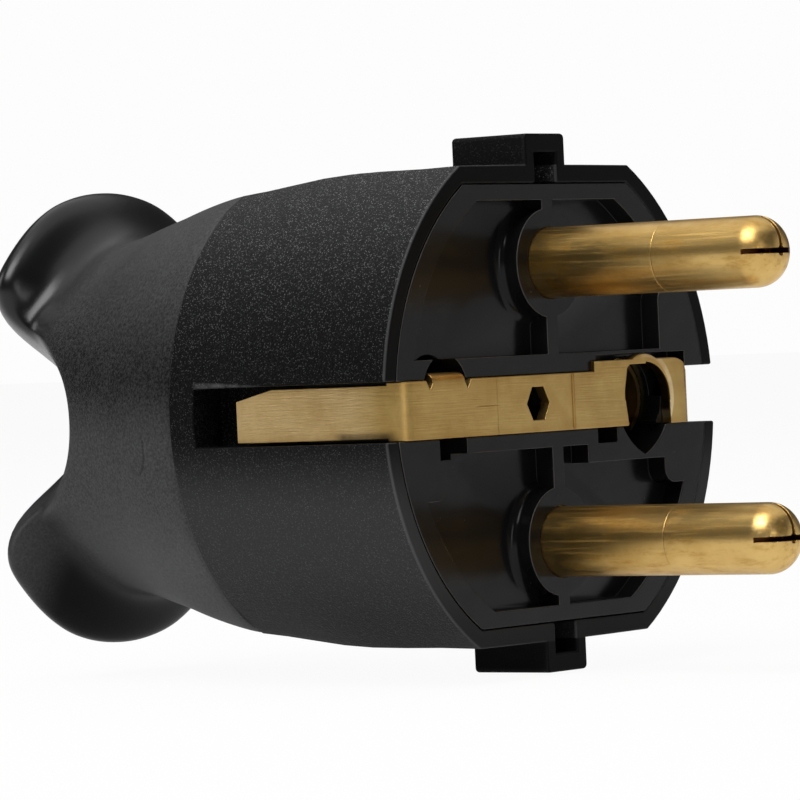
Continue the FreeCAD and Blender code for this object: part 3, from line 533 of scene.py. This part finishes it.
def in_dish(vert):
    """Whether a vertex is on the waist or in the dish of a lobe, where the form is soft."""
    back, reach = -vert.co.x / MM, vert.co.yz.length / MM
    return 31.5 < back < 39.6 and 5.5 < reach < 14.4 or 26.0 < back <= 31.5 and reach > 12.0


def make_grip():
    """The grip, as a cage of rings under subdivision."""
    bm = bmesh.new()
    bmesh.ops.create_circle(bm, segments=AROUND, radius=10.0 * MM,
                            matrix=Matrix.Rotation(radians(90.0), 4, "Y"))
    crease = bm.edges.layers.float.new("crease_edge")
    first = list(bm.edges)
    settle(bm.verts, 0)
    edges = first
    for index in range(1, RINGS):
        grown = bmesh.ops.extrude_edge_only(bm, edges=edges)["geom"]
        ring = {part for part in grown if isinstance(part, bmesh.types.BMVert)}
        edges = [part for part in grown
                 if isinstance(part, bmesh.types.BMEdge) and ring.issuperset(part.verts)]
        settle(ring, index)
    for edge in first + edges:
        edge[crease] = 1.0
    bmesh.ops.bridge_loops(bm, edges=first + edges)
    dish = [vert for vert in bm.verts if in_dish(vert)]
    for _ in range(DISH_SMOOTHINGS):
        bmesh.ops.smooth_vert(bm, verts=dish, factor=0.5, use_axis_x=True, use_axis_y=True, use_axis_z=True)
    bmesh.ops.recalc_face_normals(bm, faces=bm.faces)
    piece = piece_from(bm, "grip", "housing", 180.0)
    piece.data.materials[0] = GRIP_SATIN
    soft = piece.modifiers.new("soft", "SUBSURF")
    soft.levels = soft.render_levels = 2


# Barrel: the front of the housing, cut from the model at the crease

# Way back, and how far the flats stand out there
FLAT_SWELL = ((0.0, 0.0), (3.5, 0.07), (6.5, 0.2), (9.5, 0.28), (12.0, 0.22), (14.5, 0.02),
              (17.2, -0.2), (19.5, -0.28))
BACKWARD = (-1.0, 0.0, 0.0)
NOSE_CLEAR = 17.4


def flat_swell(back):
    """How far the flats stand out from the model, at a way back."""
    for (near, low), (far, high) in zip(FLAT_SWELL, FLAT_SWELL[1:]):
        if near <= back <= far + 0.01:
            return low + (high - low) * (back - near) / (far - near)
    return 0.0


def make_barrel():
    """The barrel, with its flats a little swollen but its noses as they are."""
    bm = merged_copy("housing")
    for back, _ in FLAT_SWELL[1:-1]:
        split(bm, BACKWARD, back)
    split(bm, BACKWARD, CREASE_BACK, clear_outer=True)
    bmesh.ops.bridge_loops(bm, edges=[edge for edge in bm.edges if edge.is_boundary])
    for vert in bm.verts:
        x, y, z = vert.co / MM
        if abs(z) < NOSE_CLEAR:
            rise = flat_swell(-x) * eased((abs(z) - 10.0) / 5.0)
            vert.co.z += rise * (MM if z > 0 else -MM)
    break_edges(piece_from(bm, "barrel", "housing"), 0.14)


# Live pins: turned, with a smooth dome, a small bore and a crossed slit

DOME = 2.0
BORE_RADIUS, BORE_FROM = 0.35, 17.8
# Place along the pin and radius, from its tail to its shank
STEM = ((-14.3, 0.0), (-14.3, 2.0), (-9.5, 2.0), (-9.5, 3.4), (-4.0, 3.4), (-4.0, 2.9), (-0.3, 2.9),
        (-0.3, PIN_RADIUS), (6.0, PIN_RADIUS), (12.0, PIN_RADIUS))


def carved(bm, cutter):
    """The solid in bm less the solid in cutter."""
    parts = []
    for source in (bm, cutter):
        mesh = bpy.data.meshes.new("carving")
        source.to_mesh(mesh)
        source.free()
        parts.append(bpy.data.objects.new("carving", mesh))
        bpy.context.scene.collection.objects.link(parts[-1])
    cut = parts[0].modifiers.new("cut", "BOOLEAN")
    cut.operation, cut.solver, cut.object = "DIFFERENCE", "MANIFOLD", parts[1]
    result = parts[0].evaluated_get(bpy.context.evaluated_depsgraph_get())
    left = bmesh.new()
    left.from_mesh(result.data)
    for part in parts:
        bpy.data.meshes.remove(part.data)
    return left


def make_pin(node, level):
    """One pin, turned about the plug's axis and then raised to its level."""
    bm = bmesh.new()
    dome = [(PIN_END - DOME + DOME * sin(radians(turn)), PIN_RADIUS - DOME + DOME * cos(radians(turn)))
            for turn in range(0, 91, 6)]
    tip = ((PIN_END, BORE_RADIUS), (BORE_FROM, BORE_RADIUS), (BORE_FROM, 0.0))
    previous = None
    for along, reach in (*STEM, *dome, *tip):
        vert = bm.verts.new(Vector((along, 0.0, reach)) * MM)
        if previous:
            bm.edges.new((previous, vert))
        previous = vert
    bmesh.ops.spin(bm, geom=bm.verts[:] + bm.edges[:], cent=(0, 0, 0), axis=(1, 0, 0),
                   angle=radians(360.0), steps=64, use_merge=True)
    bmesh.ops.remove_doubles(bm, verts=bm.verts, dist=0.001 * MM)
    bmesh.ops.recalc_face_normals(bm, faces=bm.faces)

    slits = bmesh.new()
    box_in(slits, (SLIT_FROM + 1.5, -1.0, 0.0), (3.0, 4.0, 2.0 * SLIT_HALF))
    box_in(slits, (SLIT_FROM + 1.5, 0.0, 1.5), (3.0, 2.0 * SLIT_HALF, 3.0))
    bm = carved(bm, slits)
    bmesh.ops.remove_doubles(bm, verts=bm.verts, dist=0.001 * MM)
    bmesh.ops.translate(bm, verts=bm.verts, vec=(0, 0, level * MM))
    break_edges(piece_from(bm, node + "_turned", node, 35.0), 0.04, 35.0)


# Earth strip: the model's own band with a drawn lip, a folded tab and a rounded far corner

HOLE_FAR = 2.9
BAR_TOP = 2.65
LEG_TOP = 1.78
CORNER_FROM, CORNER_LENGTH = 13.4, 1.7
FARWARD = (0.0, 1.0, 0.0)


def on_face(x):
    return abs(x - STRIP_FACE) < 0.01


def reshape_hole(bm):
    """Squares the hole's upper near side, widens its far side and straightens it lower down."""
    for vert in bm.verts:
        y, z = vert.co.yz / MM
        across, reach = y - HOLE_AT, Vector((y - HOLE_AT, z)).length
        if across < 0.0 and z > 0.0 and reach < 2.9:
            squared = (max(-across, z) / reach) ** -0.75
            vert.co.y = (HOLE_AT + across * squared + max(z - 0.5, 0.0) * 0.2) * MM
            vert.co.z = min(z * squared, 2.3) * MM
        elif reach < 2.7 and z < 0.0:
            side = HOLE_FAR + 0.03 * abs(z) if across > 0.0 else 0.17 * abs(z) - HOLE_RADIUS
            vert.co.y = (HOLE_AT + side) * MM
        elif reach < 2.7:
            vert.co.y = (HOLE_AT + across * 1.18) * MM


def round_far_corner(bm):
    """Brings the bar's top down to the far leg in a quarter round."""
    for turn in range(0, 90, 10):
        split(bm, FARWARD, CORNER_FROM + CORNER_LENGTH * sin(radians(turn)))
    for vert in bm.verts:
        x, y, z = vert.co / MM
        if y > CORNER_FROM and z > 1.7 and x > -1.1:
            share = max(1.0 - ((y - CORNER_FROM) / CORNER_LENGTH) ** 2, 0.0) ** 0.5
            vert.co.z = min(z, LEG_TOP + (BAR_TOP - LEG_TOP) * share) * MM
    bmesh.ops.remove_doubles(bm, verts=bm.verts, dist=0.001 * MM)


def make_strip():
    """The pressed strip, with a thin ridge across its bar."""
    bm = merged_copy("earth_strip")
    reshape_hole(bm)
    fold = edges_where(bm, lambda x, y, z: on_face(x) and abs(z - 2.42) < 0.01 and y < -10.0)
    rounded(bm, fold, 0.7, 5)
    round_far_corner(bm)
    lip = edges_where(bm, lambda x, y, z: on_face(x) and 2.3 < Vector((y - HOLE_AT, z)).length < 2.95
                      and (y > HOLE_AT or z < 0.0) and z > -1.9)
    rounded(bm, lip, 0.3, 4)
    ridge = Matrix.Translation(Vector((STRIP_FACE - 0.03, STRIP_RIDGE, 0.0)) * MM)
    bmesh.ops.create_cone(bm, segments=16, radius1=0.13 * MM, radius2=0.13 * MM, depth=3.7 * MM,
                          cap_ends=True, matrix=ridge)
    break_edges(piece_from(bm, "earth_strip_pressed", "earth_strip", 25.0), 0.06, 32.0)


# Contact carrier: the model's own face, with soft feet where its bosses rise

RECESS = 1.5
BOSS_RADIUS = 3.72


def at_boss_foot(x, y, z):
    """Whether a place is where a pin's boss meets the floor of the recess."""
    return abs(x + RECESS) < 0.01 and abs(Vector((y, abs(z) - PIN_OFFSET)).length - BOSS_RADIUS) < 0.04


def make_carrier():
    """The carrier, its pointed hole widened to suit the strip's."""
    bm = merged_copy("contact_carrier")
    for vert in bm.verts:
        x, y, z = vert.co / MM
        if x > -0.6 and 8.0 < y < 12.2 and -4.1 < z < -1.9:
            vert.co.y += (0.15 + (y - HOLE_AT) * 0.22) * MM
    feet = [edge for edge in edges_where(bm, at_boss_foot)
            if edge.is_manifold and edge.calc_face_angle_signed(0.0) < -radians(60.0)]
    rounded(bm, feet, 0.7, 4, clamp=False)
    break_edges(piece_from(bm, "contact_carrier_skin", "contact_carrier"), 0.06)


make_grip()
make_barrel()
make_carrier()
make_strip()
make_pin("pin_upper", PIN_OFFSET)
make_pin("pin_lower", -PIN_OFFSET)
piece_from(merged_copy("earth_socket"), "earth_socket_skin", "earth_socket")
for name, node in frame["nodes"].items():
    node.data.materials.clear()
    node.data.materials.append(FINISHES[SLOTS[name]])


# Stage, light and camera, in metres

FLOOR_LEVEL = -0.0186
WORLD_SEEN, WORLD_FILL = 0.98, 0.07

# Each lamp's place, the point it faces, its size and its power
LAMPS = {
    "above": ((-0.05, 0.2, 0.65), (0.0, 0.0, 0.0), (1.1, 0.8), 2.2),
    "key": ((0.04, -0.35, 0.53), (-0.02, 0.0, 0.0), (0.42, 0.42), 3.6),
    "left": ((-0.5, -0.25, 0.25), (-0.03, 0.0, 0.0), (0.2, 0.3), 0.5),
    "right": ((0.35, 0.5, 0.12), (0.0, 0.0, 0.0), (0.3, 0.25), 0.12),
    "front": ((0.59, -0.27, 0.06), (0.0, 0.0, 0.0), (0.1, 0.35), 0.4),
}

CAMERA_TURN, CAMERA_RISE, CAMERA_ROLL = radians(38.199), radians(0.661), radians(-2.588)
CAMERA_PLACE = Vector((216.900, -292.836, 4.827)) * MM
CAMERA_LENS, CAMERA_FILM = 240.535, 36.0


def stage_white():
    """Pale stage: white to the camera and to mirrors, plain grey-white to everything else."""
    made = Finish("stage_white", Base_Color=(0.8, 0.8, 0.8, 1.0), Roughness=0.9)
    seen = (made.node("ShaderNodeLightPath", {}, {}, "Is Camera Ray") * 0.95
            + made.node("ShaderNodeLightPath", {}, {}, "Is Glossy Ray") * 0.55)
    plain = Grade(made, made.shader.outputs[0])
    glow = made.node("ShaderNodeEmission", {}, {})
    mixed = made.node("ShaderNodeMixShader", {}, {0: seen, 1: plain, 2: glow})
    made.tree.links.new(mixed.socket, made.tree.nodes["Material Output"].inputs["Surface"])
    return made.material


def make_floor():
    """A wide floor just under the plug, which holds its shadow."""
    bm = bmesh.new()
    bmesh.ops.create_grid(bm, x_segments=1, y_segments=1, size=3.0,
                          matrix=Matrix.Translation((0.0, 0.0, FLOOR_LEVEL)))
    mesh = bpy.data.meshes.new("floor")
    bm.to_mesh(mesh)
    bm.free()
    mesh.materials.append(stage_white())
    floor = bpy.data.objects.new("floor", mesh)
    bpy.context.scene.collection.objects.link(floor)


def make_world():
    """White to the camera, and a low fill to everything else."""
    world = bpy.data.worlds.new("studio")
    bpy.context.scene.world = world
    world.use_nodes = True
    nodes, links = world.node_tree.nodes, world.node_tree.links
    background = nodes["Background"]
    background.inputs["Color"].default_value = (1.0, 1.0, 1.0, 1.0)
    path = nodes.new("ShaderNodeLightPath")
    level = nodes.new("ShaderNodeMath")
    level.operation = "MULTIPLY_ADD"
    links.new(path.outputs["Is Camera Ray"], level.inputs[0])
    level.inputs[1].default_value = WORLD_SEEN - WORLD_FILL
    level.inputs[2].default_value = WORLD_FILL
    links.new(level.outputs[0], background.inputs["Strength"])


def softbox(name, place, aim, size, power):
    """A rectangular lamp that faces a point."""
    lamp = bpy.data.lights.new(name, "AREA")
    lamp.shape = "RECTANGLE"
    lamp.size, lamp.size_y = size
    lamp.energy = power
    facing = (Vector(place) - Vector(aim)).to_track_quat("Z", "Y").to_matrix().to_4x4()
    box = bpy.data.objects.new(name, lamp)
    box.matrix_world = Matrix.Translation(place) @ facing
    bpy.context.scene.collection.objects.link(box)


def make_camera():
    """The photograph's own camera, fitted to the pins, the rim and the finger lobes."""
    back = Vector((sin(CAMERA_TURN) * cos(CAMERA_RISE), -cos(CAMERA_TURN) * cos(CAMERA_RISE),
                   sin(CAMERA_RISE)))
    level = Vector((cos(CAMERA_TURN), sin(CAMERA_TURN), 0.0))
    upright = back.cross(level)
    right = cos(CAMERA_ROLL) * level + sin(CAMERA_ROLL) * upright
    up = cos(CAMERA_ROLL) * upright - sin(CAMERA_ROLL) * level
    pose = Matrix((right, up, back)).transposed().to_4x4()
    pose.translation = CAMERA_PLACE
    data = bpy.data.cameras.new("camera")
    data.sensor_width = CAMERA_FILM
    data.lens = CAMERA_LENS
    data.clip_start, data.clip_end = 0.01, 20.0
    camera = bpy.data.objects.new("camera", data)
    camera.matrix_world = pose
    bpy.context.scene.collection.objects.link(camera)
    bpy.context.scene.camera = camera


make_floor()
make_world()
for name, (place, aim, size, power) in LAMPS.items():
    softbox(name, place, aim, size, power)
make_camera()
bpy.context.scene.view_settings.view_transform = "Standard"
